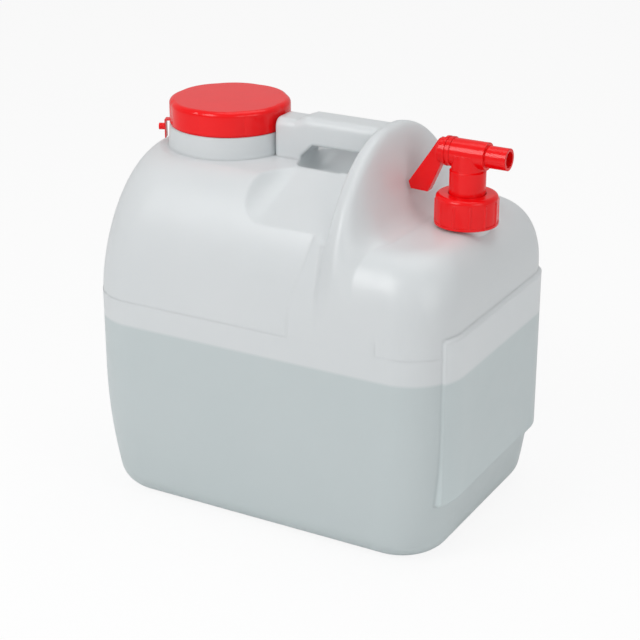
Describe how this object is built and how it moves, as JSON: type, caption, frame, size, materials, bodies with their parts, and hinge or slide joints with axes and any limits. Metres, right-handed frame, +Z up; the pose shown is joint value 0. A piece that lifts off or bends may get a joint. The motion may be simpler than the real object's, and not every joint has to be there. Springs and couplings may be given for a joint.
{
  "type": "carboy with spigot",
  "caption": "Translucent plastic water carboy with moulded handle, wide red screw lid and a red lever tap on a union nut.",
  "frame": {"origin": "centre of the base, on the surface it stands on", "axes": "+Z up, +X from the wide lid to the tap, -Y the broad side seen in the picture"},
  "size_m": [0.373, 0.26, 0.3748],
  "materials": {
    "canister": "translucent satin HDPE",
    "red_plastic": "gloss",
    "seal_foam": "matt foam",
    "black_rubber": "matt"
  },
  "bodies": {
    "can": {"container": "canister", "lid_strap": "red_plastic"},
    "lid_carrier": {"lid_seal": "seal_foam"},
    "lid": {"lid": "red_plastic"},
    "tap": {"tap_housing": "red_plastic", "tap_gasket": "seal_foam"},
    "nut": {"union_nut": "red_plastic"},
    "plug": {"valve_plug": "red_plastic", "plug_seal_back": "black_rubber", "plug_seal_front": "black_rubber"}
  },
  "joints": [
    {"name": "lid_lift", "type": "slide", "parent": "can", "child": "lid_carrier", "axis": [0, 0, 1], "range_m": [0, 0.0241]},
    {"name": "lid_turn", "type": "hinge", "parent": "lid_carrier", "child": "lid", "pos_m": [-0.098, 0, 0.36], "axis": [0, 0, 1], "range_deg": [0, 1440]},
    {"name": "tap_lift", "type": "slide", "parent": "can", "child": "tap", "axis": [0, 0, 1], "range_m": [0, 0.0201]},
    {"name": "nut_turn", "type": "hinge", "parent": "tap", "child": "nut", "pos_m": [0.149, 0, 0.3], "axis": [0, 0, 1], "range_deg": [0, 1800]},
    {"name": "tap_lever", "type": "hinge", "parent": "tap", "child": "plug", "pos_m": [0.149, 0, 0.356], "axis": [-1, 0, 0], "range_deg": [0, 90]}
  ],
  "couplings": [
    {"joint": "lid_lift", "follows": "lid_turn", "m_per_rad": 0.00095493},
    {"joint": "tap_lift", "follows": "nut_turn", "m_per_rad": 0.00063662}
  ]
}
